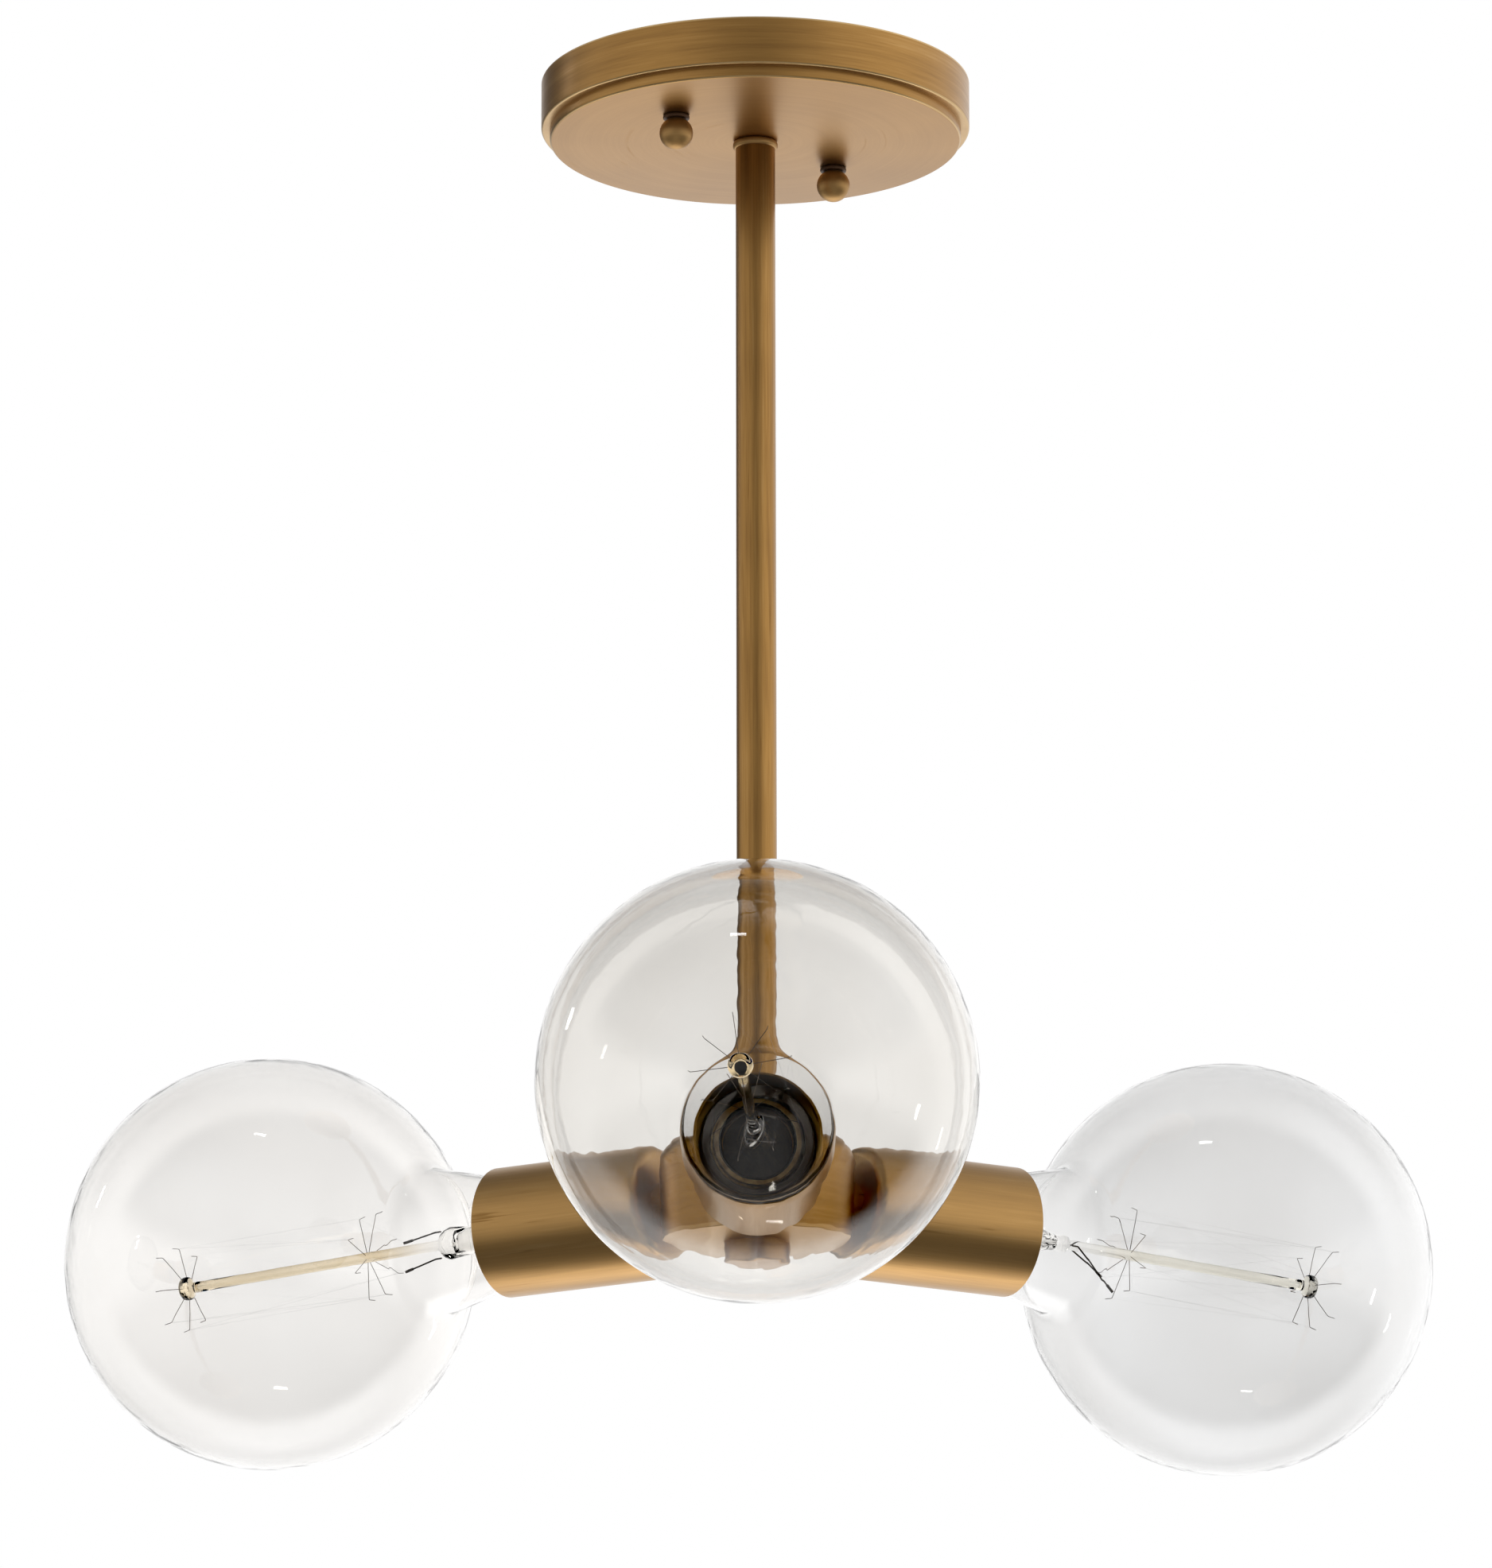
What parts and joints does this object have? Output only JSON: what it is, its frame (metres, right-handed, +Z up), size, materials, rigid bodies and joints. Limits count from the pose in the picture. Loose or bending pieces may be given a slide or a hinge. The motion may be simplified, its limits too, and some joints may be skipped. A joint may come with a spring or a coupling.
{
  "type": "pendant light",
  "caption": "Pendant light: round canopy, slim straight stem and a small hub with level lamp cups around it, each with a large clear globe lamp that screws in.",
  "frame": {"origin": "centre of the canopy's top rim, on the ceiling plane", "axes": "+Z up into the ceiling, -Y along the front lamp's arm, +X to the right of it"},
  "size_m": [0.4151, 0.3747, 0.4128],
  "materials": {
    "antique_gold": "brushed antique gold paint",
    "dark_bronze": "satin",
    "zinc_steel": "zinc plated",
    "earth_green": "green coated",
    "copper": "bare copper",
    "brass": "bright",
    "black_phenolic": "moulded",
    "black_insulator": "glossy",
    "clear_glass": "clear",
    "solder": "dull tin",
    "lamp_wire": "dark nickel",
    "black_wire": "insulation",
    "white_wire": "insulation"
  },
  "bodies": {
    "fixture": {"crossbar": "zinc_steel", "crossbar_studs": "zinc_steel", "ground_screw": "earth_green", "canopy": "antique_gold", "canopy_nipple": "zinc_steel", "canopy_lock_washer": "zinc_steel", "stem_collar": "antique_gold", "stem": "antique_gold", "hub_body": "antique_gold", "hub_cover": "antique_gold", "hub_cap": "antique_gold", "hub_nipple": "zinc_steel", "pipe_nuts": "zinc_steel", "arm_nipples": "zinc_steel", "arm_spacers": "antique_gold", "ground_wire": "copper", "hot_wires": "black_wire", "neutral_wires": "white_wire", "front_cup": "antique_gold", "front_socket_body": "black_phenolic", "front_socket_shell": "brass", "front_socket_contact": "brass", "right_cup": "antique_gold", "right_socket_body": "black_phenolic", "right_socket_shell": "brass", "right_socket_contact": "brass", "left_cup": "antique_gold", "left_socket_body": "black_phenolic", "left_socket_shell": "brass", "left_socket_contact": "brass"},
    "front_lamp_foot": {"front_base_contact": "solder"},
    "front_lamp": {"front_globe": "clear_glass", "front_lamp_base": "brass", "front_base_insulator": "black_insulator", "front_glass_mount": "clear_glass", "front_lead_wires": "lamp_wire", "front_support_hooks": "lamp_wire", "front_filament": "lamp_wire"},
    "right_lamp_foot": {"right_base_contact": "solder"},
    "right_lamp": {"right_globe": "clear_glass", "right_lamp_base": "brass", "right_base_insulator": "black_insulator", "right_glass_mount": "clear_glass", "right_lead_wires": "lamp_wire", "right_support_hooks": "lamp_wire", "right_filament": "lamp_wire"},
    "left_lamp_foot": {"left_base_contact": "solder"},
    "left_lamp": {"left_globe": "clear_glass", "left_lamp_base": "brass", "left_base_insulator": "black_insulator", "left_glass_mount": "clear_glass", "left_lead_wires": "lamp_wire", "left_support_hooks": "lamp_wire", "left_filament": "lamp_wire"},
    "right_knob_neck": {"right_knob_washer": "dark_bronze"},
    "right_knob": {"right_ball_knob": "antique_gold"},
    "left_knob_neck": {"left_knob_washer": "dark_bronze"},
    "left_knob": {"left_ball_knob": "antique_gold"}
  },
  "joints": [
    {"name": "front_lamp_travel", "type": "slide", "parent": "fixture", "child": "front_lamp_foot", "axis": [0, -1, 0], "range_m": [0, 0.01997]},
    {"name": "front_lamp_turn", "type": "hinge", "parent": "front_lamp_foot", "child": "front_lamp", "pos_m": [0, -0.0535, -0.347], "axis": [0, -1, 0], "range_deg": [0, 1980]},
    {"name": "right_lamp_travel", "type": "slide", "parent": "fixture", "child": "right_lamp_foot", "axis": [0.866, 0.5, 0], "range_m": [0, 0.01997]},
    {"name": "right_lamp_turn", "type": "hinge", "parent": "right_lamp_foot", "child": "right_lamp", "pos_m": [0.04633, 0.02675, -0.347], "axis": [0.866, 0.5, 0], "range_deg": [0, 1980]},
    {"name": "left_lamp_travel", "type": "slide", "parent": "fixture", "child": "left_lamp_foot", "axis": [-0.866, 0.5, 0], "range_m": [-0.00601, 0.01397]},
    {"name": "left_lamp_turn", "type": "hinge", "parent": "left_lamp_foot", "child": "left_lamp", "pos_m": [-0.05153, 0.02975, -0.347], "axis": [-0.866, 0.5, 0], "range_deg": [-595.21, 1384.79]},
    {"name": "right_knob_travel", "type": "slide", "parent": "fixture", "child": "right_knob_neck", "axis": [0, 0, -1], "range_m": [0, 0.00476]},
    {"name": "right_knob_turn", "type": "hinge", "parent": "right_knob_neck", "child": "right_knob", "pos_m": [0.02387, 0.0256, -0.0236], "axis": [0, 0, -1], "range_deg": [0, 2160]},
    {"name": "left_knob_travel", "type": "slide", "parent": "fixture", "child": "left_knob_neck", "axis": [0, 0, -1], "range_m": [0, 0.00476]},
    {"name": "left_knob_turn", "type": "hinge", "parent": "left_knob_neck", "child": "left_knob", "pos_m": [-0.02387, -0.0256, -0.0236], "axis": [0, 0, -1], "range_deg": [0, 2160]}
  ],
  "couplings": [
    {"joint": "front_lamp_travel", "follows": "front_lamp_turn", "m_per_rad": 0.00057757},
    {"joint": "right_lamp_travel", "follows": "right_lamp_turn", "m_per_rad": 0.00057757},
    {"joint": "left_lamp_travel", "follows": "left_lamp_turn", "m_per_rad": 0.00057757},
    {"joint": "right_knob_turn", "follows": "right_knob_travel", "rad_per_m": 7913.3},
    {"joint": "left_knob_turn", "follows": "left_knob_travel", "rad_per_m": 7913.3}
  ]
}
